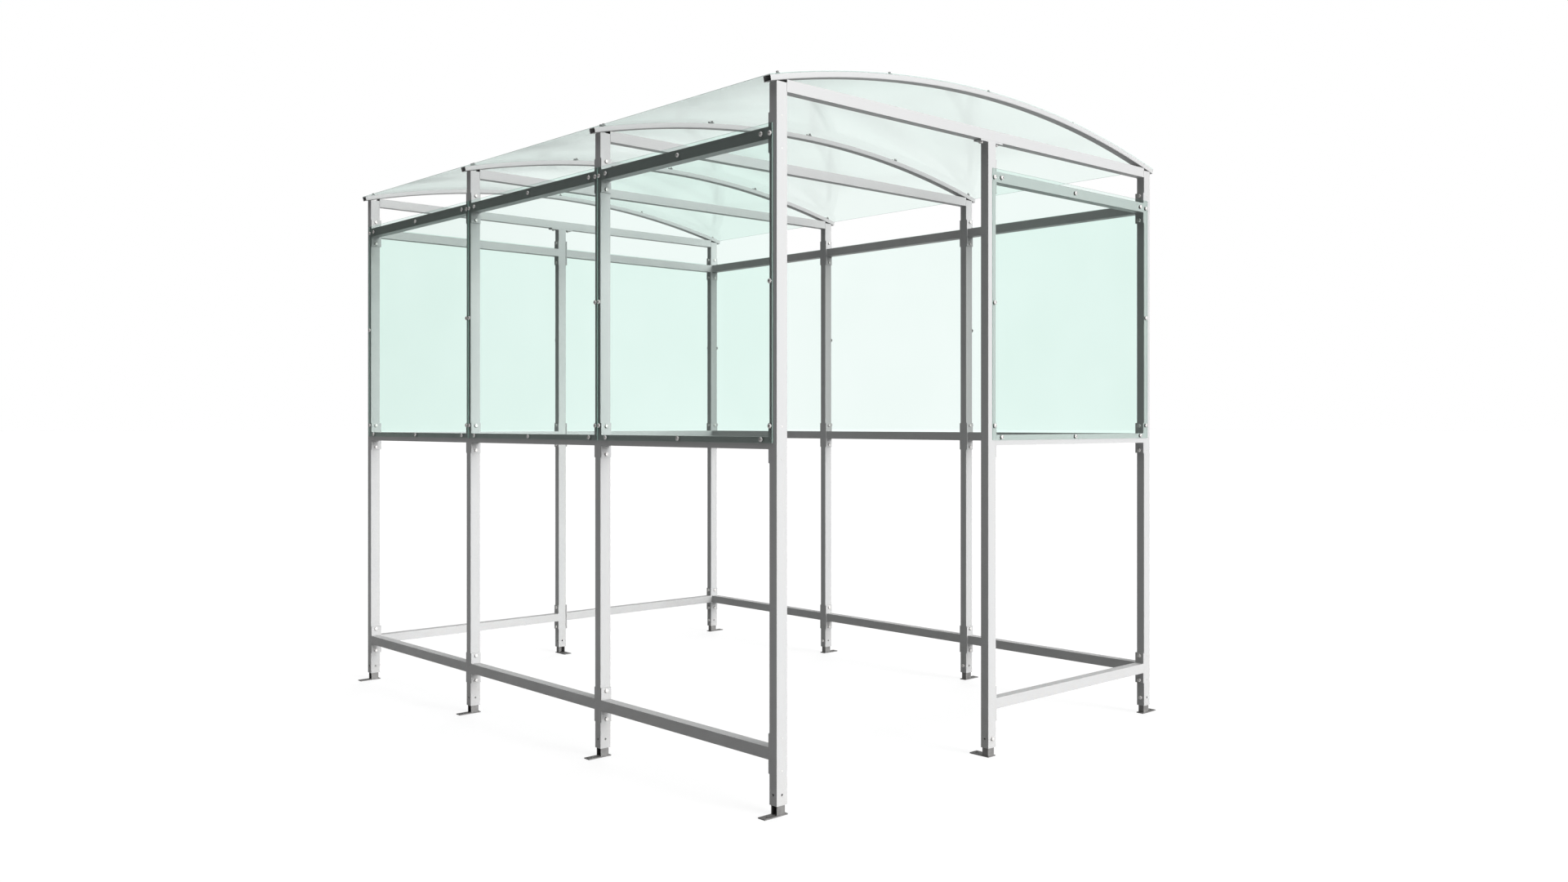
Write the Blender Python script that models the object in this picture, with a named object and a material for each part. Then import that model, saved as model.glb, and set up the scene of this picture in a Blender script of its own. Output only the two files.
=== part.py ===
"""Steel shelter with an arched clear roof, clear upper wall panels and an open doorway in one gable.

X runs across the gables and Y along the length, from the doorway gable at -Y to the closed back
gable at +Y. Z is up, and the origin is on the ground in the middle of the footprint. All sizes are
in metres. Portal 1 is the doorway gable and portal 4 the back gable; left is -X and right is +X.
"""

import math

import bmesh
import bpy
from mathutils import Matrix, Vector

# Overall sizes
SHELTER_WIDTH = 2.200  # over the outer faces of the side posts
SHELTER_LENGTH = 3.000  # over the outer faces of the gable posts
BAYS = 3
POST_BOTTOM = 0.034  # above the ground, with the feet fully in
POST_TOP = 2.360
ROOF_RISE = 0.133  # of the ribs' underside, from the post tops to the crown
EAVE_OVERHANG = 0.028

# Steel sections: the width is across the shelter, the depth along it
POST_WIDTH = 0.045
POST_DEPTH = 0.035
POST_WALL = 0.0025
TIE_HEIGHT = 0.040
RIB_HEIGHT = 0.020
RAIL_SIDE = 0.040
THIN_WALL = 0.002

# Rails and the plates welded to their ends
RAIL_HEIGHTS = {"lower": 0.198, "middle": 1.198, "upper": 2.198}
END_PLATE_HEIGHT = 0.130
END_PLATE_THICKNESS = 0.005
END_BOLT_OFFSET = 0.053  # above and below the rail's centre line
BOLT_HOLE = 0.009

# Clear sheets
WALL_SHEET = 0.004
ROOF_SHEET = 0.002
PANEL_ABOVE_RAIL = 0.010
PANEL_EDGE_GAP = 0.001  # from a panel's edge to the post's centre line

# Head plates, which bolt the gable middle posts to their tie beams
HEAD_PLATE_LENGTH = 0.130
HEAD_PLATE_THICKNESS = 0.006
HEAD_BOLT_OFFSET = 0.045

# Levelling feet: a channel that telescopes in the post, on a base plate with one anchor hole
FOOT_CHANNEL_LONG = 0.037
FOOT_CHANNEL_SHORT = 0.028
FOOT_CHANNEL_WALL = 0.003
FOOT_CHANNEL_TOP = 0.135
FOOT_CORNER = 0.004
BASE_THICKNESS = 0.004
BASE_OUTWARD = 0.073  # past the post's centre line, on the channel's open side
SIDE_BASE_WIDTH = 0.033
SIDE_BASE_INWARD = 0.027
MIDDLE_BASE_WIDTH = 0.043
MIDDLE_BASE_INWARD = 0.017
ANCHOR_HOLE = 0.011
ANCHOR_FROM_TIP = 0.018
CLAMP_HEIGHT = 0.068  # of the clamp bolt's hole in the post
FOOT_TRAVEL = 0.040
SLOT_WIDTH = 0.009

TOUCH = 0.0003  # gap between pieces that touch
RIB_REST = 0.0006  # gap under a rib, whose underside is made of short chords
THROUGH = 0.01  # how far a cutter runs past the face it cuts
ARC_STEPS = 24
HOLE_SIDES = 8
ROUND_SIDES = 16

HALF_WIDTH = SHELTER_WIDTH / 2
HALF_LENGTH = SHELTER_LENGTH / 2
POST_X = HALF_WIDTH - POST_WIDTH / 2
POST_Y = HALF_LENGTH - POST_DEPTH / 2
BAY = 2 * POST_Y / BAYS
PORTAL_YS = [-POST_Y + BAY * number for number in range(BAYS + 1)]
POST_INNER = HALF_WIDTH - POST_WIDTH

# The ribs' underside is an arc through the tops of the posts' outer faces
ARC_RADIUS = (HALF_WIDTH**2 + ROOF_RISE**2) / (2 * ROOF_RISE)
ARC_CENTRE_Z = POST_TOP + ROOF_RISE - ARC_RADIUS
ARC_HALF_ANGLE = math.asin((HALF_WIDTH + EAVE_OVERHANG) / (ARC_RADIUS + RIB_HEIGHT))

MATERIALS = {
    "painted_steel": ((0.62, 0.62, 0.62, 1.0), 0.0, 0.48),
    "bare_steel": ((0.36, 0.35, 0.33, 1.0), 0.9, 0.5),
    "wall_sheet": ((0.80, 0.93, 0.87, 0.35), 0.0, 0.08),
    "roof_sheet": ((0.85, 0.94, 0.90, 0.35), 0.0, 0.10),
}


def clear_scene():
    for obj in list(bpy.data.objects):
        bpy.data.objects.remove(obj)


def collection_named(name):
    collection = bpy.data.collections.new(name)
    bpy.context.scene.collection.children.link(collection)
    return collection


def principled(name):
    colour, metallic, roughness = MATERIALS[name]
    material = bpy.data.materials.new(name)
    material.use_nodes = True
    shader = material.node_tree.nodes["Principled BSDF"]
    shader.inputs["Base Color"].default_value = colour
    shader.inputs["Alpha"].default_value = colour[3]
    shader.inputs["Metallic"].default_value = metallic
    shader.inputs["Roughness"].default_value = roughness
    return material


def helper(name, bm):
    """A guide or cutter made from bm, which is never part of the object."""
    mesh = bpy.data.meshes.new(name)
    bmesh.ops.recalc_face_normals(bm, faces=bm.faces)
    bm.to_mesh(mesh)
    bm.free()
    obj = bpy.data.objects.new(name, mesh)
    cutters.objects.link(obj)
    obj.hide_render = True
    obj.display_type = "WIRE"
    return obj


def box(name, centre, size):
    bm = bmesh.new()
    placed = Matrix.Translation(centre) @ Matrix.Diagonal((*size, 1.0))
    bmesh.ops.create_cube(bm, size=1.0, matrix=placed)
    return helper(name, bm)


def rod(name, centre, diameter, length, axis, sides=HOLE_SIDES):
    """A round cutter along the axis "X", "Y" or "Z"."""
    turned = {
        "X": Matrix.Rotation(math.pi / 2, 4, "Y"),
        "Y": Matrix.Rotation(math.pi / 2, 4, "X"),
        "Z": Matrix.Identity(4),
    }
    half_side = Matrix.Rotation(math.pi / sides, 4, "Z")
    bm = bmesh.new()
    bmesh.ops.create_cone(
        bm,
        cap_ends=True,
        segments=sides,
        radius1=diameter / 2,
        radius2=diameter / 2,
        depth=length,
        matrix=Matrix.Translation(centre) @ turned[axis] @ half_side,
    )
    return helper(name, bm)


def shaped(name, start, joined=(), cut=()):
    """The mesh of the start helper with some helpers joined to it and others cut from it."""
    for operation, tools in (("UNION", joined), ("DIFFERENCE", cut)):
        for tool in tools:
            modifier = start.modifiers.new(tool.name, "BOOLEAN")
            modifier.operation = operation
            modifier.object = tool
    bpy.context.view_layer.update()
    graph = bpy.context.evaluated_depsgraph_get()
    mesh = bpy.data.meshes.new_from_object(start.evaluated_get(graph))
    mesh.name = name
    start.modifiers.clear()
    return mesh


def piece(name, mesh, material, location=(0.0, 0.0, 0.0), turn=0.0):
    """A named piece of the shelter, which may share its mesh with others. The turn is about Z."""
    if not mesh.materials:
        mesh.materials.append(material)
    obj = bpy.data.objects.new(name, mesh)
    shelter.objects.link(obj)
    obj.location = location
    obj.rotation_euler = (0.0, 0.0, turn)
    return obj


def clamp_holes(x, y):
    """The holes for a foot's clamp bolt, through all four walls of the post at x, y."""
    centre = (x, y, CLAMP_HEIGHT)
    return [
        rod("clamp_hole_across", centre, BOLT_HOLE, POST_WIDTH + THROUGH, "X"),
        rod("clamp_hole_along", centre, BOLT_HOLE, POST_DEPTH + THROUGH, "Y"),
    ]


def post_outer(x, y, top):
    centre = (x, y, (POST_BOTTOM + top) / 2)
    return box("post_outer", centre, (POST_WIDTH, POST_DEPTH, top - POST_BOTTOM))


def post_bore(x, y, top):
    centre = (x, y, (POST_BOTTOM + top) / 2)
    inner = (POST_WIDTH - 2 * POST_WALL, POST_DEPTH - 2 * POST_WALL, top - POST_BOTTOM + THROUGH)
    return box("post_bore", centre, inner)


def underside(x):
    """The height of the ribs' underside at x."""
    return ARC_CENTRE_Z + math.sqrt(ARC_RADIUS**2 - x**2)


def portal_mesh():
    """Two posts with a tie beam welded between them, as one frame."""
    tie_top = underside(POST_INNER) - RIB_REST
    post_top = POST_TOP - RIB_REST
    tie_z = tie_top - TIE_HEIGHT / 2
    tie = box("tie_outer", (0.0, 0.0, tie_z), (2 * POST_INNER, POST_DEPTH, TIE_HEIGHT))
    posts = [post_outer(x, 0.0, post_top) for x in (-POST_X, POST_X)]
    # The tie's hollow stops at the posts' inner faces, and stays open above the post tops
    tie_bore = box(
        "tie_bore",
        (0.0, 0.0, tie_z),
        (2 * POST_INNER, POST_DEPTH - 2 * THIN_WALL, TIE_HEIGHT - 2 * THIN_WALL),
    )
    cuts = [tie_bore]
    for x in (-POST_X, POST_X):
        cuts.append(post_bore(x, 0.0, post_top))
        cuts.extend(clamp_holes(x, 0.0))
    return shaped("portal", tie, posts, cuts)


def middle_post_mesh():
    """A gable's middle post, with the head plate that bolts up to the tie beam."""
    tie_bottom = underside(POST_INNER) - RIB_REST - TIE_HEIGHT
    plate_top = tie_bottom - TOUCH
    post_top = plate_top - HEAD_PLATE_THICKNESS
    plate = box(
        "head_plate",
        (0.0, 0.0, plate_top - HEAD_PLATE_THICKNESS / 2),
        (HEAD_PLATE_LENGTH, POST_DEPTH, HEAD_PLATE_THICKNESS),
    )
    # The bore stops under the plate, and the post reaches into the plate so that they join
    outer = post_outer(0.0, 0.0, post_top + HEAD_PLATE_THICKNESS / 2)
    bore_centre = (0.0, 0.0, (POST_BOTTOM + post_top - THROUGH) / 2)
    bore_size = (
        POST_WIDTH - 2 * POST_WALL,
        POST_DEPTH - 2 * POST_WALL,
        post_top - POST_BOTTOM + THROUGH,
    )
    bolt_z = plate_top - HEAD_PLATE_THICKNESS / 2
    cuts = [box("middle_post_bore", bore_centre, bore_size), *clamp_holes(0.0, 0.0)]
    for x in (-HEAD_BOLT_OFFSET, HEAD_BOLT_OFFSET):
        cuts.append(rod("head_bolt_hole", (x, 0.0, bolt_z), BOLT_HOLE, THROUGH, "Z"))
    return shaped("middle_post", plate, [outer], cuts)


def rail_mesh(name, clear_span, plate_width, plate_offset):
    """A square tube along X, with its outer face towards -Y, and a plate welded round each end.

    The origin is the middle of the tube. The plates' centre is plate_offset further along Y.
    """
    length = clear_span - 2 * TOUCH
    tube = box("rail_outer", (0.0, 0.0, 0.0), (length, RAIL_SIDE, RAIL_SIDE))
    hollow = RAIL_SIDE - 2 * THIN_WALL
    bore = box("rail_bore", (0.0, 0.0, 0.0), (length + THROUGH, hollow, hollow))
    plates = []
    cuts = [bore]
    for side in (-1, 1):
        x = side * (length - END_PLATE_THICKNESS) / 2
        size = (END_PLATE_THICKNESS, plate_width, END_PLATE_HEIGHT)
        plates.append(box("end_plate", (x, plate_offset, 0.0), size))
        for z in (-END_BOLT_OFFSET, END_BOLT_OFFSET):
            centre = (x, plate_offset, z)
            depth = END_PLATE_THICKNESS + THROUGH
            cuts.append(rod("end_bolt_hole", centre, BOLT_HOLE, depth, "X"))
    return shaped(name, tube, plates, cuts)


def swept_band(radius, height, low_y, high_y, overrun=0.0):
    """A bmesh rectangle in the plane x = 0, turned about the roof arc's axis into a curved bar.

    The bar ends at the eaves, or runs past them by overrun.
    """
    half_angle = ARC_HALF_ANGLE + overrun / radius
    bm = bmesh.new()
    low_z = ARC_CENTRE_Z + radius
    corners = [(low_y, low_z), (high_y, low_z), (high_y, low_z + height), (low_y, low_z + height)]
    face = bm.faces.new([bm.verts.new((0.0, y, z)) for y, z in corners])
    arc_centre = Vector((0.0, 0.0, ARC_CENTRE_Z))
    start = Matrix.Rotation(-half_angle, 3, "Y")
    bmesh.ops.rotate(bm, verts=bm.verts, cent=arc_centre, matrix=start)
    bmesh.ops.spin(
        bm,
        geom=[face],
        cent=arc_centre,
        axis=(0.0, 1.0, 0.0),
        angle=2 * half_angle,
        steps=ARC_STEPS,
    )
    return bm


def rib_mesh():
    """An arched box tube, open at both ends."""
    half = POST_DEPTH / 2
    bar = helper("rib_outer", swept_band(ARC_RADIUS, RIB_HEIGHT, -half, half))
    hollow = helper(
        "rib_bore",
        swept_band(
            ARC_RADIUS + THIN_WALL,
            RIB_HEIGHT - 2 * THIN_WALL,
            -half + THIN_WALL,
            half - THIN_WALL,
            THROUGH,
        ),
    )
    return shaped("roof_rib", bar, cut=[hollow])


def roof_sheet_mesh(name, low_y, high_y):
    """One bay's roof sheet, which lies on the ribs."""
    band = helper(name, swept_band(ARC_RADIUS + RIB_HEIGHT + TOUCH, ROOF_SHEET, low_y, high_y))
    return shaped(name, band)


def foot_mesh(name, channel_length, channel_width, base_width, base_inward):
    """A foot whose base plate and open side point to -X, at rest, below a post at x = y = 0."""
    height = FOOT_CHANNEL_TOP - BASE_THICKNESS
    middle_z = (FOOT_CHANNEL_TOP + BASE_THICKNESS) / 2
    # The channel reaches halfway into the base plate, so that the union joins them
    sunk = BASE_THICKNESS / 2
    channel = box(
        "foot_channel",
        (0.0, 0.0, middle_z - sunk / 2),
        (channel_length, channel_width, height + sunk),
    )
    round_web(channel)
    base = box(
        "foot_base",
        ((base_inward - BASE_OUTWARD) / 2, 0.0, BASE_THICKNESS / 2),
        (BASE_OUTWARD + base_inward, base_width, BASE_THICKNESS),
    )
    # The hollow leaves the web at +X and both flanges, and is open at -X and at the top
    hollow = box(
        "foot_hollow",
        (-FOOT_CHANNEL_WALL - THROUGH / 2, 0.0, middle_z + THROUGH / 2),
        (channel_length + THROUGH, channel_width - 2 * FOOT_CHANNEL_WALL, height + THROUGH),
    )
    web_x = (channel_length - FOOT_CHANNEL_WALL) / 2
    slot_depth = FOOT_CHANNEL_WALL + THROUGH
    slot = box(
        "foot_slot",
        (web_x, 0.0, CLAMP_HEIGHT + FOOT_TRAVEL / 2),
        (slot_depth, SLOT_WIDTH, FOOT_TRAVEL),
    )
    slot_ends = [
        rod("foot_slot_end", (web_x, 0.0, z), SLOT_WIDTH, slot_depth, "X", ROUND_SIDES)
        for z in (CLAMP_HEIGHT, CLAMP_HEIGHT + FOOT_TRAVEL)
    ]
    anchor_x = -BASE_OUTWARD + ANCHOR_FROM_TIP
    anchor = rod("anchor_hole", (anchor_x, 0.0, 0.0), ANCHOR_HOLE, 2 * THROUGH, "Z", ROUND_SIDES)
    return shaped(name, base, [channel], [hollow, slot, *slot_ends, anchor])


def round_web(channel):
    """Rounds the two upright edges of the channel's web, at +X."""
    bm = bmesh.new()
    bm.from_mesh(channel.data)
    uprights = [
        edge
        for edge in bm.edges
        if all(vertex.co.x > 0 for vertex in edge.verts)
        and abs(edge.verts[0].co.z - edge.verts[1].co.z) > FOOT_CHANNEL_LONG
    ]
    bmesh.ops.bevel(bm, geom=uprights, offset=FOOT_CORNER, segments=3, profile=0.5, affect="EDGES")
    bm.to_mesh(channel.data)
    bm.free()


def wall_panel_mesh(name, span):
    """A flat clear sheet in the XZ plane, from the middle rail's centre to just over the top rail."""
    bottom = RAIL_HEIGHTS["middle"]
    top = RAIL_HEIGHTS["upper"] + RAIL_SIDE / 2 + PANEL_ABOVE_RAIL
    size = (span - 2 * PANEL_EDGE_GAP, WALL_SHEET, top - bottom)
    return shaped(name, box(name, (0.0, 0.0, (bottom + top) / 2), size))


def build_frames(steel):
    portal = portal_mesh()
    rib = rib_mesh()
    for number, y in enumerate(PORTAL_YS, 1):
        piece(f"portal_{number}", portal, steel, (0.0, y, 0.0))
        piece(f"roof_rib_{number}", rib, steel, (0.0, y, 0.0))
    middle = middle_post_mesh()
    piece("door_post", middle, steel, (0.0, PORTAL_YS[0], 0.0))
    piece("back_post", middle, steel, (0.0, PORTAL_YS[-1], 0.0))


def build_feet(steel):
    """Side feet point outwards, and the two middle posts' feet point into the shelter."""
    side_foot = foot_mesh(
        "side_foot", FOOT_CHANNEL_LONG, FOOT_CHANNEL_SHORT, SIDE_BASE_WIDTH, SIDE_BASE_INWARD
    )
    for number, y in enumerate(PORTAL_YS, 1):
        piece(f"foot_left_{number}", side_foot, steel, (-POST_X, y, 0.0))
        piece(f"foot_right_{number}", side_foot, steel, (POST_X, y, 0.0), math.pi)
    middle_foot = foot_mesh(
        "middle_foot", FOOT_CHANNEL_SHORT, FOOT_CHANNEL_LONG, MIDDLE_BASE_WIDTH, MIDDLE_BASE_INWARD
    )
    piece("foot_door", middle_foot, steel, (0.0, PORTAL_YS[0], 0.0), -math.pi / 2)
    piece("foot_back", middle_foot, steel, (0.0, PORTAL_YS[-1], 0.0), math.pi / 2)


def build_rails(steel):
    side_span = BAY - POST_DEPTH
    gable_span = POST_INNER - POST_WIDTH / 2
    side_offset = POST_WIDTH / 2 - RAIL_SIDE / 2
    side_rail = rail_mesh("side_rail", side_span, POST_WIDTH, side_offset)
    gable_rail = rail_mesh("gable_rail", gable_span, RAIL_SIDE, 0.0)
    side_x = HALF_WIDTH - RAIL_SIDE / 2
    gable_y = HALF_LENGTH - RAIL_SIDE / 2
    gable_x = (POST_INNER + POST_WIDTH / 2) / 2
    for level, z in RAIL_HEIGHTS.items():
        for bay in range(BAYS):
            y = PORTAL_YS[bay] + BAY / 2
            piece(f"left_rail_{bay + 1}_{level}", side_rail, steel, (-side_x, y, z), -math.pi / 2)
            piece(f"right_rail_{bay + 1}_{level}", side_rail, steel, (side_x, y, z), math.pi / 2)
        piece(f"back_rail_left_{level}", gable_rail, steel, (-gable_x, gable_y, z), math.pi)
        piece(f"back_rail_right_{level}", gable_rail, steel, (gable_x, gable_y, z), math.pi)
        piece(f"front_rail_{level}", gable_rail, steel, (gable_x, -gable_y, z))


def build_walls(sheet):
    side_panel = wall_panel_mesh("side_panel", BAY)
    gable_panel = wall_panel_mesh("gable_panel", POST_X)
    side_x = HALF_WIDTH + TOUCH + WALL_SHEET / 2
    gable_y = HALF_LENGTH + TOUCH + WALL_SHEET / 2
    for bay in range(BAYS):
        y = PORTAL_YS[bay] + BAY / 2
        piece(f"left_panel_{bay + 1}", side_panel, sheet, (-side_x, y, 0.0), math.pi / 2)
        piece(f"right_panel_{bay + 1}", side_panel, sheet, (side_x, y, 0.0), math.pi / 2)
    piece("back_panel_left", gable_panel, sheet, (-POST_X / 2, gable_y, 0.0))
    piece("back_panel_right", gable_panel, sheet, (POST_X / 2, gable_y, 0.0))
    piece("front_panel", gable_panel, sheet, (POST_X / 2, -gable_y, 0.0))


def build_roof(sheet):
    for bay in range(BAYS):
        low = -HALF_LENGTH if bay == 0 else PORTAL_YS[bay] + PANEL_EDGE_GAP
        high = HALF_LENGTH if bay == BAYS - 1 else PORTAL_YS[bay + 1] - PANEL_EDGE_GAP
        name = f"roof_sheet_{bay + 1}"
        piece(name, roof_sheet_mesh(f"{name}_band", low, high), sheet)


clear_scene()
shelter = collection_named("shelter")
cutters = collection_named("cutters")
build_frames(principled("painted_steel"))
build_feet(principled("bare_steel"))
build_rails(bpy.data.materials["painted_steel"])
build_walls(principled("wall_sheet"))
build_roof(principled("roof_sheet"))
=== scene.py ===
"""Looks of a steel shelter with clear walls and roof: paint, sheet and steel finishes, and its fasteners.

All sizes are in metres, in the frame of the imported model: X across the gables, Y along the length
from the doorway gable, Z up. Left is -X. Places come from the model's own boxes.
"""

import math

import bmesh
import bpy
from mathutils import Matrix, Vector


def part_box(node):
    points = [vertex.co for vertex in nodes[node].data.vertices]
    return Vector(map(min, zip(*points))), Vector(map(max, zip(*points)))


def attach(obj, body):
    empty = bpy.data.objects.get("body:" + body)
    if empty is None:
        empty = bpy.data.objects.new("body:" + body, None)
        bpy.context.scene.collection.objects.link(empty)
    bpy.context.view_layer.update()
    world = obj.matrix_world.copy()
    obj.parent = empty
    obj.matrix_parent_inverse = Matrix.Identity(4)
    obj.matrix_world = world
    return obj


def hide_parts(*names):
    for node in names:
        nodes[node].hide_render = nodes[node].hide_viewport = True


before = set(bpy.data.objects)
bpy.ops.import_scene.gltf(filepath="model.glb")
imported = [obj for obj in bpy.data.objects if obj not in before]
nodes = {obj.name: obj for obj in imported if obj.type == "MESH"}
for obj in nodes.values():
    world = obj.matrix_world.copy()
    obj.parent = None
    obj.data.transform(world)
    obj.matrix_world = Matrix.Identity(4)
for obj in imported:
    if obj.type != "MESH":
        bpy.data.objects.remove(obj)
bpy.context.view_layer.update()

# The camera, which stands level at eye height near the doorway's left corner
CAMERA_PLACE = (-3.839, -4.516, 1.261)
CAMERA_TURN = math.radians(-42.57)
CAMERA_LENS = 29.24
CAMERA_SHIFT_Y = -0.01115

# Light
KEY_STRENGTH = 6.9
KEY_ELEVATION = math.radians(12.0)
KEY_AZIMUTH = math.radians(8.0)  # of where it comes from, turned from -Y towards +X
KEY_SPREAD = math.radians(30.0)
TOP_STRENGTH = 2.7
TOP_SPREAD = math.radians(80.0)
BACK_STRENGTH = 3.0
BACK_ELEVATION = math.radians(15.0)
BACK_AZIMUTH = math.radians(130.0)
BACK_SPREAD = math.radians(40.0)
WORLD_LIGHT = 0.08
FLOOR_SIZE = 400.0
FLOOR_COLOUR = 0.27
FLOOR_SEEN = 0.12  # its colour to the camera and in reflections, where faint shadows are wanted
FLOOR_GLOW = 0.81  # seen by the camera and in reflections only, so that it lights nothing

# Fasteners
PANEL_BOLT_FROM_POST = 0.055  # from a post's centre to the first bolt on a rail
PANEL_BOLT_BESIDE_POST = 0.012  # from a post's centre to the bolts in its face
RAIL_BOLT_OFFSET = 0.053  # above and below a rail's centre
HEAD_BOLT_OFFSET = 0.045  # either side of a gable's middle post
CLAMP_BOLT_HEIGHT = 0.068
ROOF_SCREW_XS = (-1.08, -0.55, 0.0, 0.55, 1.08)
ROOF_SCREW_PAIR = 0.009  # either side of an inner rib's centre
TURNED_SIDES = 24

# Roof
RIB_HEIGHT = 0.020
RIB_WALL = 0.002
RIB_CORNER = 0.003
ROOF_SHEET = 0.002
SHEET_GAP = 0.0003  # between the ribs and the sheets that lie on them
SWEEP_STEPS = 96
CORNER_STEPS = 4

# Straight steel, its rolled corners, and its welds
STEEL_CORNER = 0.0015
SHEET_CORNER = 0.0008
RAIL_SIDE = 0.040
TIE_HEIGHT = 0.040
TIE_ABOVE_POST = 0.010
END_PLATE_THICKNESS = 0.005
HEAD_PLATE_THICKNESS = 0.006
WELD_RADIUS = 0.0022
WELD_STEP = 0.0028
WELD_SIDES = 8

# Share of light that each face of a clear sheet reflects
REFLECTED_HEAD_ON = 0.012
REFLECTED_GRAZING = 0.40
SIDE_SHADOW = (0.86, 0.88, 0.87, 1.0)  # what each face lets through from the lights
GABLE_SHADOW = (0.93, 0.95, 0.94, 1.0)
ROOF_SHADOW = (0.98, 0.99, 0.985, 1.0)
WALL_BOUNCE = (0.60, 0.61, 0.605, 1.0)  # what each face lets through from the floor and the steel
ROOF_BOUNCE = (0.94, 0.96, 0.95, 1.0)
EDGE_SOLID = 0.45  # how solid a sheet's cut edge looks

PORTALS = [nodes[f"portal_{number}"] for number in range(1, 5)]
PORTAL_BOXES = [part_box(f"portal_{number}") for number in range(1, 5)]
PORTAL_YS = [(low.y + high.y) / 2 for low, high in PORTAL_BOXES]
HALF_WIDTH = PORTAL_BOXES[0][1].x
POST_DEPTH = PORTAL_BOXES[0][1].y - PORTAL_BOXES[0][0].y
END_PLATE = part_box("left_rail_1_middle")
POST_WIDTH = END_PLATE[1].x - END_PLATE[0].x
POST_X = HALF_WIDTH - POST_WIDTH / 2
LEVELS = ("lower", "middle", "upper")
RAIL_HEIGHTS = {
    level: sum(corner.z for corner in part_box(f"left_rail_1_{level}")) / 2 for level in LEVELS
}


# ---- Node helpers ----


def add(tree, kind, inputs=None, **settings):
    """A new node with these settings. An input is a value, or the output socket that feeds it."""
    node = tree.nodes.new(kind)
    for key, value in settings.items():
        setattr(node, key, value)
    for key, value in (inputs or {}).items():
        if isinstance(value, bpy.types.NodeSocket):
            tree.links.new(value, node.inputs[key])
        else:
            node.inputs[key].default_value = value
    return node


def blank_material(name):
    """A material with an output node only, and the object's coordinates."""
    material = bpy.data.materials.new(name)
    material.use_nodes = True
    tree = material.node_tree
    tree.nodes.clear()
    output = add(tree, "ShaderNodeOutputMaterial")
    coords = add(tree, "ShaderNodeTexCoord").outputs["Object"]
    return material, tree, output, coords


def noise(tree, coords, scale, detail=2.0, roughness=0.5):
    inputs = {"Vector": coords, "Scale": scale, "Detail": detail, "Roughness": roughness}
    return add(tree, "ShaderNodeTexNoise", inputs).outputs["Fac"]


def ranged(tree, value, from_low, from_high, to_low=0.0, to_high=1.0):
    """The value moved from one range to another, and kept inside it."""
    inputs = {
        "Value": value,
        "From Min": from_low,
        "From Max": from_high,
        "To Min": to_low,
        "To Max": to_high,
    }
    return add(tree, "ShaderNodeMapRange", inputs).outputs["Result"]


def maths(tree, operation, first, second):
    return add(tree, "ShaderNodeMath", {0: first, 1: second}, operation=operation).outputs[0]


def mixed(tree, factor, first, second, blend="MIX"):
    """Two colours mixed by a factor."""
    colours = {0: factor, 6: first, 7: second}
    mix = add(tree, "ShaderNodeMix", colours, data_type="RGBA", blend_type=blend)
    return mix.outputs[2]


def bumped(tree, height, strength, distance):
    inputs = {"Height": height, "Strength": strength, "Distance": distance}
    return add(tree, "ShaderNodeBump", inputs).outputs["Normal"]


def grey(level, warmth=0.0):
    return (level * (1 + warmth), level, level * (1 - warmth), 1.0)


# ---- Materials ----


def painted_steel():
    """Light grey textured powder coat, with dust low down and a few dull scuffs."""
    material, tree, output, coords = blank_material("painted_steel_coat")
    grain = noise(tree, coords, 420.0, 3.0, 0.6)
    cloud = noise(tree, coords, 5.0, 3.0)
    scuff = ranged(tree, noise(tree, coords, 60.0, 4.0, 0.7), 0.62, 0.74)
    height = add(tree, "ShaderNodeSeparateXYZ", {0: coords}).outputs["Z"]
    low = ranged(tree, height, 0.45, 0.03)
    dust = maths(tree, "MULTIPLY", low, ranged(tree, noise(tree, coords, 22.0, 4.0), 0.35, 0.7))
    colour = mixed(tree, ranged(tree, grain, 0.3, 0.7), grey(0.285), grey(0.365))
    colour = mixed(tree, ranged(tree, cloud, 0.3, 0.7, 0.0, 0.35), colour, grey(0.31, -0.02))
    colour = mixed(tree, maths(tree, "MULTIPLY", scuff, 0.2), colour, grey(0.27, 0.01))
    colour = mixed(tree, maths(tree, "MULTIPLY", dust, 0.3), colour, grey(0.28, 0.05))
    rough = maths(tree, "ADD", ranged(tree, cloud, 0.3, 0.7, 0.42, 0.52), maths(tree, "MULTIPLY", dust, 0.2))
    shader = add(
        tree,
        "ShaderNodeBsdfPrincipled",
        {
            "Base Color": colour,
            "Roughness": rough,
            "Specular IOR Level": 0.35,
            "Normal": bumped(tree, grain, 0.25, 0.0004),
        },
    )
    tree.links.new(shader.outputs[0], output.inputs["Surface"])
    return material


def worn_steel(name, level, metallic, warmth=0.02):
    """Dull uncoated steel with rolling marks, darker blotches and a trace of rust."""
    material, tree, output, coords = blank_material(name)
    blotch = noise(tree, coords, 35.0, 5.0, 0.65)
    fine = noise(tree, coords, 700.0, 2.0)
    rust = ranged(tree, noise(tree, coords, 90.0, 5.0, 0.7), 0.60, 0.72)
    dark, light = grey(level * 0.75, warmth), grey(level * 1.2, warmth)
    rusty = (level * 0.8, level * 0.55, level * 0.4, 1.0)
    colour = mixed(tree, ranged(tree, blotch, 0.3, 0.7), dark, light)
    colour = mixed(tree, maths(tree, "MULTIPLY", rust, 0.35), colour, rusty)
    shader = add(
        tree,
        "ShaderNodeBsdfPrincipled",
        {
            "Base Color": colour,
            "Roughness": ranged(tree, blotch, 0.3, 0.7, 0.38, 0.62),
            "Metallic": metallic,
            "Normal": bumped(tree, fine, 0.2, 0.0003),
        },
    )
    tree.links.new(shader.outputs[0], output.inputs["Surface"])
    return material


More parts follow.
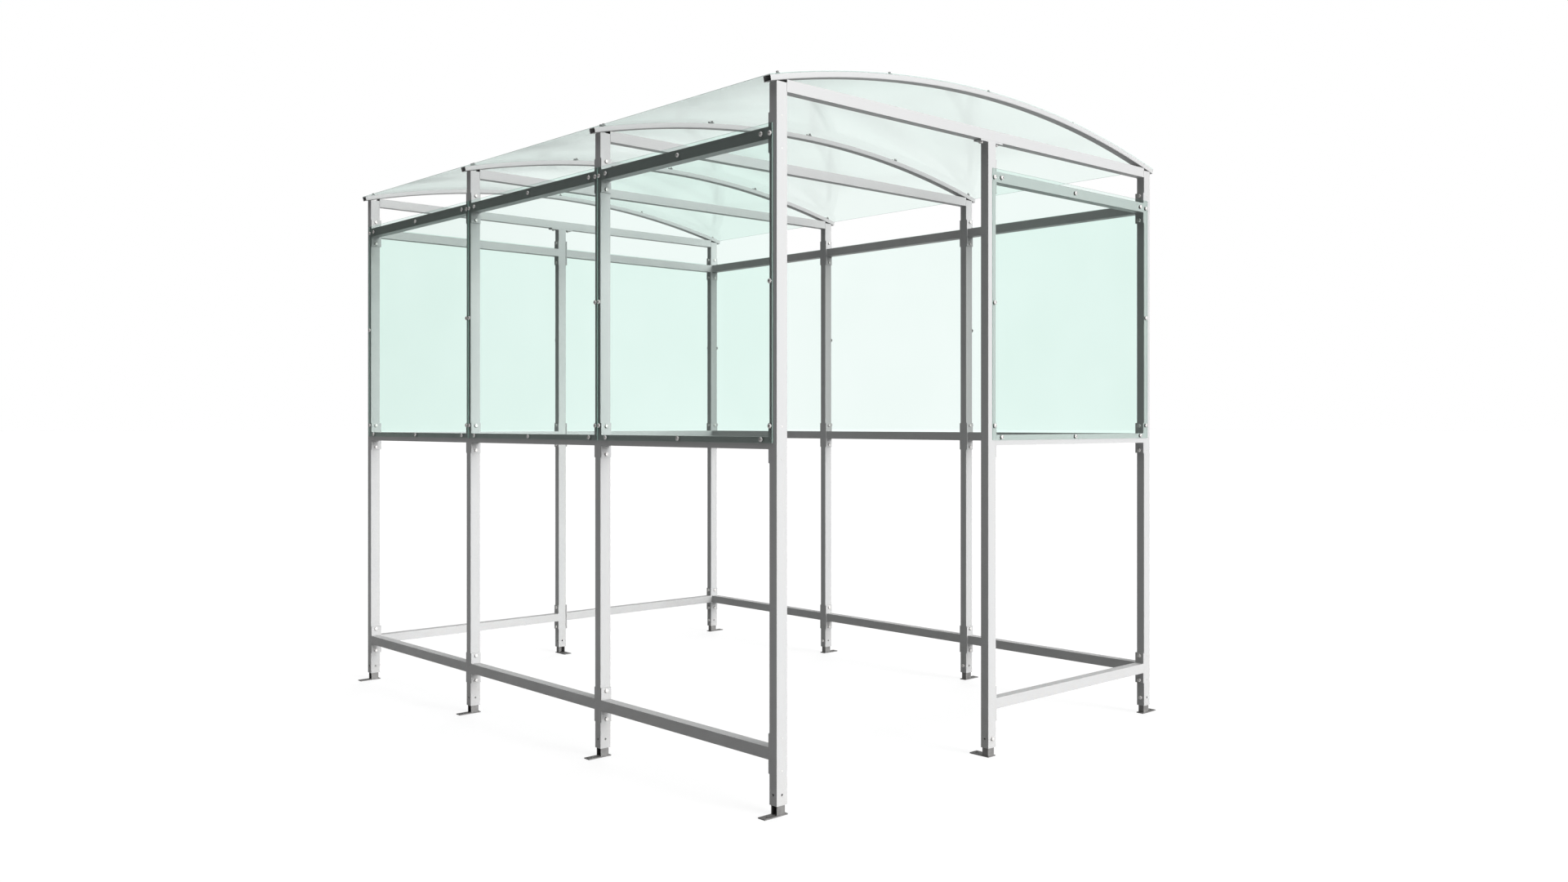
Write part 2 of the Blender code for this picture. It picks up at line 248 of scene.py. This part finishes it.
def clear_sheet(name, edge_axis, tint, grazing_tint, edge_tint, shadow_tint, bounce_tint):
    """Thin tinted plastic. Its faces point along edge_axis, and its cut edges are deeper in colour."""
    material, tree, output, coords = blank_material(name)
    facing = add(tree, "ShaderNodeLayerWeight", {"Blend": 0.5}).outputs["Facing"]
    grazing = ranged(tree, facing, 0.45, 0.98)
    streak = noise(tree, coords, 2.0, 3.0)
    body = mixed(tree, grazing, tint, grazing_tint)
    body = mixed(tree, ranged(tree, streak, 0.35, 0.65, 0.0, 0.12), body, grazing_tint)
    rays = add(tree, "ShaderNodeLightPath").outputs
    body = mixed(tree, rays["Is Diffuse Ray"], body, bounce_tint)
    body = mixed(tree, rays["Is Shadow Ray"], body, shadow_tint)
    through = add(tree, "ShaderNodeBsdfTransparent", {"Color": body})
    edge = add(
        tree,
        "ShaderNodeBsdfPrincipled",
        {"Base Color": edge_tint, "Roughness": 0.25, "Alpha": 1.0},
    )
    scratch = noise(tree, coords, 240.0, 3.0)
    gloss = add(
        tree,
        "ShaderNodeBsdfGlossy",
        {"Color": (0.9, 0.95, 0.93, 1.0), "Roughness": 0.12, "Normal": bumped(tree, scratch, 0.03, 0.0002)},
    )
    # The share reflected rises steeply towards grazing, alike on both sides of the sheet.
    steep = maths(tree, "POWER", facing, 5.0)
    reflected = ranged(tree, steep, 0.0, 1.0, REFLECTED_HEAD_ON, REFLECTED_GRAZING)
    face = add(tree, "ShaderNodeMixShader", {0: reflected, 1: through.outputs[0], 2: gloss.outputs[0]})
    normal = add(tree, "ShaderNodeNewGeometry").outputs["True Normal"]
    axes = add(tree, "ShaderNodeSeparateXYZ", {0: normal})
    flat = maths(tree, "ABSOLUTE", axes.outputs[edge_axis], 0.0)
    is_edge = ranged(tree, flat, 0.80, 0.70, 0.0, EDGE_SOLID)
    whole = add(tree, "ShaderNodeMixShader", {0: is_edge, 1: face.outputs[0], 2: edge.outputs[0]})
    tree.links.new(whole.outputs[0], output.inputs["Surface"])
    return material


# ---- Pieces ----


def finished_piece(name, bm, material, replaced=()):
    """A shaded piece on the frame from bm, in place of any CAD nodes named."""
    bmesh.ops.recalc_face_normals(bm, faces=bm.faces)
    mesh = bpy.data.meshes.new(name)
    bm.to_mesh(mesh)
    bm.free()
    mesh.shade_smooth()
    mesh.set_sharp_from_angle(angle=math.radians(32))
    mesh.materials.append(material)
    obj = bpy.data.objects.new(name, mesh)
    bpy.context.scene.collection.objects.link(obj)
    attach(obj, "frame")
    for node_name in replaced:
        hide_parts(node_name)


# ---- Fasteners ----


def turned(bm, outline, place):
    """Adds a solid turned about Z to bm. A point of the outline is (radius, height, is it six-sided)."""
    rings = []
    for radius, height, hexagonal in outline:
        ring = []
        for side in range(TURNED_SIDES):
            angle = 2 * math.pi * side / TURNED_SIDES
            reach = radius
            if hexagonal:
                from_flat = angle % (math.pi / 3) - math.pi / 6
                reach = radius / math.cos(from_flat)
            point = Vector((reach * math.cos(angle), reach * math.sin(angle), height))
            ring.append(bm.verts.new(place @ point))
        rings.append(ring)
    for lower, upper in zip(rings, rings[1:]):
        for side in range(TURNED_SIDES):
            after = (side + 1) % TURNED_SIDES
            bm.faces.new((lower[side], lower[after], upper[after], upper[side]))
    bm.faces.new(reversed(rings[0]))
    bm.faces.new(rings[-1])


def scaled(outline, size):
    return [(radius * size, height * size, six) for radius, height, six in outline]


# Outlines in units of the shank's diameter. Radii of six-sided points are to the flats.
BUTTON_HEAD = [
    (1.00, 0.00, False),
    (1.06, 0.05, False),
    (1.05, 0.16, False),
    (0.95, 0.34, False),
    (0.74, 0.50, False),
    (0.46, 0.58, False),
    (0.36, 0.585, True),
    (0.33, 0.56, True),
    (0.33, 0.22, True),
    (0.05, 0.16, False),
]
HEX_HEAD = [
    (1.02, 0.00, False),
    (1.06, 0.03, False),
    (1.06, 0.16, False),
    (1.00, 0.20, False),
    (0.84, 0.20, True),
    (0.86, 0.24, True),
    (0.86, 0.78, True),
    (0.80, 0.86, False),
    (0.72, 0.88, False),
    (0.05, 0.86, False),
]
ROOF_SCREW = [
    (1.30, 0.00, False),
    (1.36, 0.10, False),
    (1.30, 0.30, False),
    (1.05, 0.42, False),
    (0.95, 0.45, False),
    (0.66, 0.50, True),
    (0.66, 1.40, True),
    (0.56, 1.52, False),
    (0.05, 1.50, False),
]
BOLT_END = [
    (0.50, 0.00, False),
    (0.50, 0.10, False),
    (0.42, 0.18, False),
    (0.05, 0.20, False),
]


def fasteners(name, outline, size, places, material):
    """One piece with a fastener at each (point, outward direction)."""
    bm = bmesh.new()
    for point, outward in places:
        turn = Vector(outward).to_track_quat("Z", "Y").to_matrix().to_4x4()
        turned(bm, scaled(outline, size), Matrix.Translation(point) @ turn)
    finished_piece(name, bm, material)


def panel_bolt_spots(low, high):
    """Where a wall panel's bolts are, as (distance along the wall, height), for posts at low and high."""
    top = RAIL_HEIGHTS["upper"]
    bottom = RAIL_HEIGHTS["middle"] + 0.011
    spots = []
    for height in (bottom, top):
        for along in (low + PANEL_BOLT_FROM_POST, (low + high) / 2, high - PANEL_BOLT_FROM_POST):
            spots.append((along, height))
    for along in (low + PANEL_BOLT_BESIDE_POST, high - PANEL_BOLT_BESIDE_POST):
        for height in (bottom + 0.044, (bottom + top) / 2 + 0.016, top - 0.003):
            spots.append((along, height))
    return spots


def add_panel_bolts(metal):
    for number in range(1, len(PORTALS)):
        spots = panel_bolt_spots(PORTAL_YS[number - 1], PORTAL_YS[number])
        for side, name in ((-1, "left"), (1, "right")):
            low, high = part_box(f"{name}_panel_{number}")
            face = high.x if side > 0 else low.x
            places = [((face, along, z), (side, 0, 0)) for along, z in spots]
            fasteners(f"{name}_panel_{number}_bolts", BUTTON_HEAD, 0.008, places, metal)
    for name, side in (("front_panel", -1), ("back_panel_left", 1), ("back_panel_right", 1)):
        low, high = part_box(name)
        face = high.y if side > 0 else low.y
        spots = panel_bolt_spots(low.x, high.x)
        places = [((along, face, z), (0, side, 0)) for along, z in spots]
        fasteners(f"{name}_bolts", BUTTON_HEAD, 0.008, places, metal)


def add_rail_bolts(metal):
    """Two bolts in the plate at each end of each rail. Their ends on the far side of the corner posts come
    from add_corner_studs.
    """
    for name in nodes:
        if "_rail_" not in name:
            continue
        low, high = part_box(name)
        middle = (low + high) / 2
        along_y = name.startswith(("left", "right"))
        places = []
        for end in (-1, 1):
            for offset in (-RAIL_BOLT_OFFSET, RAIL_BOLT_OFFSET):
                if along_y:
                    y = (high.y if end > 0 else low.y) - end * END_PLATE_THICKNESS
                    places.append(((middle.x, y, middle.z + offset), (0, -end, 0)))
                else:
                    x = (high.x if end > 0 else low.x) - end * END_PLATE_THICKNESS
                    places.append(((x, middle.y, middle.z + offset), (-end, 0, 0)))
        fasteners(f"{name}_bolts", HEX_HEAD, 0.008, places, metal)


def add_corner_studs(metal):
    """The ends of the rails' bolts, which show on the outer faces of the end portals' posts."""
    offsets = (-RAIL_BOLT_OFFSET, RAIL_BOLT_OFFSET)
    heights = [RAIL_HEIGHTS[level] + offset for level in LEVELS for offset in offsets]
    for number, side_y in ((1, -1), (len(PORTALS), 1)):
        low, high = PORTAL_BOXES[number - 1]
        face = high.y if side_y > 0 else low.y
        for side_x, name in ((-1, "left"), (1, "right")):
            places = [((side_x * POST_X, face, z), (0, side_y, 0)) for z in heights]
            fasteners(f"corner_studs_{name}_{number}", BOLT_END, 0.006, places, metal)


def add_head_plate_bolts(metal):
    for name in ("door_post", "back_post"):
        low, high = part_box(name)
        y = (low.y + high.y) / 2
        under = high.z - HEAD_PLATE_THICKNESS
        places = [((x, y, under), (0, 0, -1)) for x in (-HEAD_BOLT_OFFSET, HEAD_BOLT_OFFSET)]
        fasteners(f"{name}_bolts", HEX_HEAD, 0.008, places, metal)


def add_clamp_bolts(metal):
    for number, y in enumerate(PORTAL_YS, 1):
        for side, name in ((-1, "left"), (1, "right")):
            inner = side * (HALF_WIDTH - POST_WIDTH)
            places = [((inner, y, CLAMP_BOLT_HEIGHT), (-side, 0, 0))]
            fasteners(f"clamp_bolt_{name}_{number}", HEX_HEAD, 0.008, places, metal)
    half = POST_DEPTH / 2
    for name, y, side in (("door", PORTAL_YS[0], -1), ("back", PORTAL_YS[-1], 1)):
        places = [((0.0, y + side * half, CLAMP_BOLT_HEIGHT), (0, side, 0))]
        fasteners(f"clamp_bolt_{name}", HEX_HEAD, 0.008, places, metal)


def add_roof_screws(metal):
    """Screws through the roof sheets into each rib, in pairs where two sheets meet."""
    centre_z, outer, _ = roof_arc()
    top = outer + SHEET_GAP + ROOF_SHEET
    for number, y in enumerate(PORTAL_YS, 1):
        if number in (1, len(PORTALS)):
            rows = [y]
        else:
            rows = [y - ROOF_SCREW_PAIR, y + ROOF_SCREW_PAIR]
        places = []
        for x in ROOF_SCREW_XS:
            angle = math.asin(x / top)
            outward = Vector((math.sin(angle), 0.0, math.cos(angle)))
            for row in rows:
                places.append((Vector((0.0, row, centre_z)) + outward * top, outward))
        fasteners(f"roof_screws_{number}", ROOF_SCREW, 0.006, places, metal)


# ---- Curved roof pieces ----


def roof_arc():
    """The ribs' (centre height, outer radius, half angle), from a rib's crown and outermost corner."""
    points = [vertex.co for vertex in nodes["roof_rib_1"].data.vertices]
    end = max(points, key=lambda point: point.x)
    crown = max(point.z for point in points)
    drop = crown - end.z
    radius = (end.x**2 + drop**2) / (2 * drop)
    return crown - radius, radius, math.asin(end.x / radius)


def rounded_outline(low_y, high_y, low_r, high_r, corner):
    """The corners of a rounded rectangle in (y, radius), anticlockwise."""
    points = []
    centres = (
        (high_y - corner, high_r - corner),
        (low_y + corner, high_r - corner),
        (low_y + corner, low_r + corner),
        (high_y - corner, low_r + corner),
    )
    for quarter, (y, radius) in enumerate(centres):
        for step in range(CORNER_STEPS + 1):
            angle = (quarter + step / CORNER_STEPS) * math.pi / 2
            points.append((y + corner * math.cos(angle), radius + corner * math.sin(angle)))
    return points


def swept(bm, outline, centre_z, half_angle):
    """A skin swept round the roof's arc in bm, and its two end rings."""
    rings = []
    for step in range(SWEEP_STEPS + 1):
        angle = half_angle * (2 * step / SWEEP_STEPS - 1)
        rings.append(
            [
                bm.verts.new((radius * math.sin(angle), y, centre_z + radius * math.cos(angle)))
                for y, radius in outline
            ]
        )
    count = len(outline)
    for before, after in zip(rings, rings[1:]):
        for side in range(count):
            other = (side + 1) % count
            bm.faces.new((before[side], before[other], after[other], after[side]))
    return rings[0], rings[-1]


def add_ribs(paint):
    """Arched tubes with rounded corners and open ends."""
    centre_z, outer, half_angle = roof_arc()
    inner = outer - RIB_HEIGHT
    for number in range(1, len(PORTALS) + 1):
        low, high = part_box(f"roof_rib_{number}")
        bm = bmesh.new()
        wall = RIB_WALL
        bore_corner = RIB_CORNER - wall / 2
        skin = rounded_outline(low.y, high.y, inner, outer, RIB_CORNER)
        bore = rounded_outline(low.y + wall, high.y - wall, inner + wall, outer - wall, bore_corner)
        skin_ends = swept(bm, skin, centre_z, half_angle)
        bore_ends = swept(bm, bore, centre_z, half_angle)
        for outside, inside in zip(skin_ends, bore_ends):
            for side in range(len(skin)):
                other = (side + 1) % len(skin)
                bm.faces.new((outside[side], outside[other], inside[other], inside[side]))
        finished_piece(f"rib_tube_{number}", bm, paint, [f"roof_rib_{number}"])


def add_roof_sheets(clear):
    """Smooth bowed sheets, one to a bay."""
    centre_z, outer, half_angle = roof_arc()
    for bay in range(1, len(PORTALS)):
        low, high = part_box(f"roof_sheet_{bay}")
        gap = SHEET_GAP
        outline = rounded_outline(low.y, high.y, outer + gap, outer + gap + ROOF_SHEET, ROOF_SHEET / 4)
        bm = bmesh.new()
        for ring in swept(bm, outline, centre_z, half_angle):
            bm.faces.new(ring)
        finished_piece(f"roof_glazing_{bay}", bm, clear, [f"roof_sheet_{bay}"])


# ---- Welds ----


def bead(bm, corners, across):
    """A rippled weld bead in bm, straight from corner to corner, in the plane square to across."""
    across = Vector(across)
    points = []
    for start, end in zip(corners, corners[1:]):
        start, end = Vector(start), Vector(end)
        count = max(2, round((end - start).length / WELD_STEP))
        points += [start.lerp(end, step / count) for step in range(count)]
    points.append(Vector(corners[-1]))
    rings = []
    for index, point in enumerate(points):
        before, after = points[max(index - 1, 0)], points[min(index + 1, len(points) - 1)]
        sideways = (after - before).normalized().cross(across)
        radius = WELD_RADIUS * (0.85 + 0.15 * math.cos(index * math.pi))
        ring = []
        for side in range(WELD_SIDES):
            angle = 2 * math.pi * side / WELD_SIDES
            offset = across * math.cos(angle) + sideways * math.sin(angle)
            ring.append(bm.verts.new(point + offset * radius))
        rings.append(ring)
    for lower, upper in zip(rings, rings[1:]):
        for side in range(WELD_SIDES):
            other = (side + 1) % WELD_SIDES
            bm.faces.new((lower[side], lower[other], upper[other], upper[side]))
    bm.faces.new(reversed(rings[0]))
    bm.faces.new(rings[-1])


def add_rail_welds(paint):
    """Beads where each rail's tube meets its end plates, except where the two are flush."""
    for group in ("left_rail", "right_rail", "back_rail", "front_rail"):
        bm = bmesh.new()
        for name in nodes:
            if not name.startswith(group):
                continue
            low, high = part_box(name)
            middle = (low.z + high.z) / 2
            bottom, top = middle - RAIL_SIDE / 2, middle + RAIL_SIDE / 2
            for end in (-1, 1):
                if group in ("left_rail", "right_rail"):
                    y = (high.y if end > 0 else low.y) - end * END_PLATE_THICKNESS
                    side = 1 if group == "right_rail" else -1
                    outer = side * (HALF_WIDTH - WELD_RADIUS)
                    inner = side * (HALF_WIDTH - RAIL_SIDE)
                    path = [(outer, y, bottom), (inner, y, bottom), (inner, y, top), (outer, y, top)]
                    bead(bm, path, (0, 1, 0))
                else:
                    x = (high.x if end > 0 else low.x) - end * END_PLATE_THICKNESS
                    for z in (bottom, top):
                        bead(bm, [(x, low.y + WELD_RADIUS, z), (x, high.y - WELD_RADIUS, z)], (1, 0, 0))
        finished_piece(f"{group}_welds", bm, paint)


def add_portal_welds(paint):
    """Beads where each tie beam meets its two posts, and each middle post its head plate."""
    tie_top = PORTAL_BOXES[0][1].z
    half = POST_DEPTH / 2
    for number, y in enumerate(PORTAL_YS, 1):
        bm = bmesh.new()
        low_z = tie_top - TIE_HEIGHT
        for side in (-1, 1):
            x = side * (HALF_WIDTH - POST_WIDTH)
            high_z = tie_top - TIE_ABOVE_POST - WELD_RADIUS
            path = [(x, y - half, high_z), (x, y - half, low_z), (x, y + half, low_z), (x, y + half, high_z)]
            bead(bm, path, (1, 0, 0))
        if number in (1, len(PORTALS)):
            z = low_z - HEAD_PLATE_THICKNESS
            for side in (-1, 1):
                x = side * POST_WIDTH / 2
                bead(bm, [(x, y - half + WELD_RADIUS, z), (x, y + half - WELD_RADIUS, z)], (0, 0, 1))
        finished_piece(f"portal_{number}_welds", bm, paint)


# ---- Camera, light and floor ----


def add_camera():
    data = bpy.data.cameras.new("camera")
    data.lens = CAMERA_LENS
    data.shift_y = CAMERA_SHIFT_Y
    data.clip_end = 1000.0
    camera = bpy.data.objects.new("camera", data)
    camera.location = CAMERA_PLACE
    camera.rotation_euler = (math.pi / 2, 0.0, CAMERA_TURN)
    bpy.context.scene.collection.objects.link(camera)
    bpy.context.scene.camera = camera


def add_light(name, strength, spread, elevation, azimuth, mirrored=True):
    """A distant soft light that comes from this elevation, and this azimuth turned from -Y towards +X."""
    data = bpy.data.lights.new(name, "SUN")
    data.energy = strength
    data.angle = spread
    light = bpy.data.objects.new(name, data)
    from_x = math.sin(azimuth) * math.cos(elevation)
    from_y = -math.cos(azimuth) * math.cos(elevation)
    light.rotation_mode = "QUATERNION"
    light.rotation_quaternion = Vector((from_x, from_y, math.sin(elevation))).to_track_quat("Z", "Y")
    light.visible_glossy = mirrored
    bpy.context.scene.collection.objects.link(light)


def add_world():
    """White behind the object, and a dim even light on it."""
    world = bpy.data.worlds.new("studio")
    world.use_nodes = True
    tree = world.node_tree
    tree.nodes.clear()
    seen = add(tree, "ShaderNodeLightPath").outputs["Is Camera Ray"]
    strength = ranged(tree, seen, 0.0, 1.0, WORLD_LIGHT, 1.0)
    background = add(tree, "ShaderNodeBackground", {"Color": (1, 1, 1, 1), "Strength": strength})
    output = add(tree, "ShaderNodeOutputWorld")
    tree.links.new(background.outputs[0], output.inputs["Surface"])
    bpy.context.scene.world = world


def add_floor():
    material, tree, output, coords = blank_material("studio_floor")
    rays = add(tree, "ShaderNodeLightPath").outputs
    seen = maths(tree, "MAXIMUM", rays["Is Camera Ray"], rays["Is Glossy Ray"])
    mottle = ranged(tree, noise(tree, coords, 1.5, 3.0), 0.3, 0.7)
    colour = mixed(tree, mottle, grey(FLOOR_COLOUR), grey(FLOOR_COLOUR * 1.02))
    colour = mixed(tree, seen, colour, grey(FLOOR_SEEN))
    shader = add(
        tree,
        "ShaderNodeBsdfPrincipled",
        {
            "Base Color": colour,
            "Roughness": 0.9,
            "Emission Color": (1, 1, 1, 1),
            "Emission Strength": maths(tree, "MULTIPLY", seen, FLOOR_GLOW),
        },
    )
    tree.links.new(shader.outputs[0], output.inputs["Surface"])
    bm = bmesh.new()
    bmesh.ops.create_grid(bm, x_segments=4, y_segments=4, size=FLOOR_SIZE / 2)
    mesh = bpy.data.meshes.new("floor")
    bm.to_mesh(mesh)
    bm.free()
    mesh.materials.append(material)
    floor = bpy.data.objects.new("floor", mesh)
    bpy.context.scene.collection.objects.link(floor)


def soften(obj, width):
    """Rolled corners and smooth shading, by a modifier, which leaves the CAD mesh as it is."""
    bevel = obj.modifiers.new("corners", "BEVEL")
    bevel.width = width
    bevel.segments = 3
    bevel.limit_method = "ANGLE"
    bevel.angle_limit = math.radians(60)
    bevel.use_clamp_overlap = False
    bevel.harden_normals = True


def dress_cad():
    paint = painted_steel()
    feet = worn_steel("foot_steel", 0.12, 0.2)
    wall_tint = (0.952, 0.998, 0.983, 1.0)
    wall_grazing = (0.88, 0.95, 0.92, 1.0)
    wall_edge = (0.42, 0.60, 0.54, 1.0)
    wall_tints = (wall_tint, wall_grazing, wall_edge)
    roof_tints = ((0.955, 0.99, 0.975, 1.0), (0.91, 0.955, 0.94, 1.0), (0.35, 0.5, 0.45, 1.0))
    side_wall = clear_sheet("side_wall_sheet", "X", *wall_tints, SIDE_SHADOW, WALL_BOUNCE)
    gable_wall = clear_sheet("gable_wall_sheet", "Y", *wall_tints, GABLE_SHADOW, WALL_BOUNCE)
    roof = clear_sheet("roof_sheet_clear", "Z", *roof_tints, ROOF_SHADOW, ROOF_BOUNCE)
    for name, obj in nodes.items():
        if name.startswith("foot_"):
            chosen = feet
        elif name.startswith("roof_sheet"):
            chosen = roof
        elif name.startswith(("left_panel", "right_panel")):
            chosen = side_wall
        elif "panel" in name:
            chosen = gable_wall
        else:
            chosen = paint
        obj.data.materials.clear()
        obj.data.materials.append(chosen)
        if chosen in (paint, feet):
            soften(obj, STEEL_CORNER if chosen is paint else STEEL_CORNER / 2)
        elif "panel" in name:
            soften(obj, SHEET_CORNER)
    add_ribs(paint)
    add_roof_sheets(roof)
    add_rail_welds(paint)
    add_portal_welds(paint)


def main():
    add_camera()
    add_light("key_light", KEY_STRENGTH, KEY_SPREAD, KEY_ELEVATION, KEY_AZIMUTH)
    add_light("top_light", TOP_STRENGTH, TOP_SPREAD, math.pi / 2, 0.0)
    add_light("back_light", BACK_STRENGTH, BACK_SPREAD, BACK_ELEVATION, BACK_AZIMUTH, mirrored=False)
    add_world()
    add_floor()
    dress_cad()
    metal = worn_steel("fastener_steel", 0.44, 0.5)
    add_panel_bolts(metal)
    add_rail_bolts(metal)
    add_corner_studs(metal)
    add_head_plate_bolts(metal)
    add_clamp_bolts(metal)
    add_roof_screws(worn_steel("roof_screw_steel", 0.12, 0.3))
    bpy.context.scene.view_settings.view_transform = "Standard"


main()
